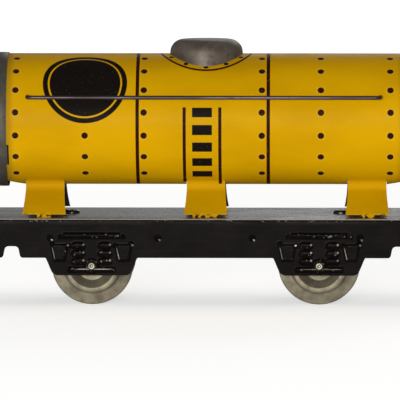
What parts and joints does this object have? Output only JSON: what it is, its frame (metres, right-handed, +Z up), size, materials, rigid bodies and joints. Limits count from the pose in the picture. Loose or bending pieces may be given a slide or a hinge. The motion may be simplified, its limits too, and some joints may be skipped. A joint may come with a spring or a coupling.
{
  "type": "model tank wagon",
  "caption": "Four-wheel tinplate model tank wagon with a yellow printed barrel on legs over a black pressed frame, with handrails and tab and slot couplers.",
  "frame": {"origin": "on the ground plane under the wagon's middle: the lowest point of the wheel flanges is Z = 0", "axes": "+X along the wagon, +Y across it away from the viewer's side, +Z up"},
  "size_m": [0.1764, 0.046, 0.0759],
  "materials": {
    "frame_black": "glossy black enamel on pressed tinplate, worn thin on the folded edges",
    "litho_yellow": "lithographed yellow with black printed rivets, seams and a ladder, under satin varnish",
    "cap_steel": "dull grey tinned steel with a dark patina",
    "dome_steel": "dull warm grey tinned steel with a dark patina",
    "rail_wire": "drawn steel wire, darkened",
    "rivet_steel": "tinned tubular rivet",
    "coupler_steel": "blued steel strip, worn bright at the edges",
    "wheel_tin": "tinned steel with a yellowed lacquer",
    "axle_steel": "bright steel pin with peened ends"
  },
  "bodies": {
    "wagon_body": {"frame": "frame_black", "tank_barrel": "litho_yellow", "end_cap_left": "cap_steel", "end_cap_right": "cap_steel", "dome": "dome_steel", "handrail_near": "rail_wire", "handrail_far": "rail_wire", "coupler_rivet_left": "rivet_steel", "coupler_rivet_right": "rivet_steel"},
    "left_wheelset": {"axle_left": "axle_steel", "wheel_left_near": "wheel_tin", "wheel_left_far": "wheel_tin", "wheel_back_left_near": "wheel_tin", "wheel_back_left_far": "wheel_tin"},
    "right_wheelset": {"axle_right": "axle_steel", "wheel_right_near": "wheel_tin", "wheel_right_far": "wheel_tin", "wheel_back_right_near": "wheel_tin", "wheel_back_right_far": "wheel_tin"},
    "slot_coupler": {"coupler_slot": "coupler_steel"},
    "tab_coupler": {"coupler_tab": "coupler_steel"}
  },
  "joints": [
    {"name": "left_wheelset_spin", "type": "hinge", "parent": "wagon_body", "child": "left_wheelset", "pos_m": [-0.03255, 0, 0.01175], "axis": [0, 1, 0], "continuous": true},
    {"name": "right_wheelset_spin", "type": "hinge", "parent": "wagon_body", "child": "right_wheelset", "pos_m": [0.03255, 0, 0.01175], "axis": [0, 1, 0], "continuous": true},
    {"name": "slot_coupler_swing", "type": "hinge", "parent": "wagon_body", "child": "slot_coupler", "pos_m": [-0.039, 0, 0.02395], "axis": [0, 0, 1], "range_deg": [-14, 14]},
    {"name": "tab_coupler_swing", "type": "hinge", "parent": "wagon_body", "child": "tab_coupler", "pos_m": [0.039, 0, 0.02395], "axis": [0, 0, 1], "range_deg": [-14, 14]}
  ]
}
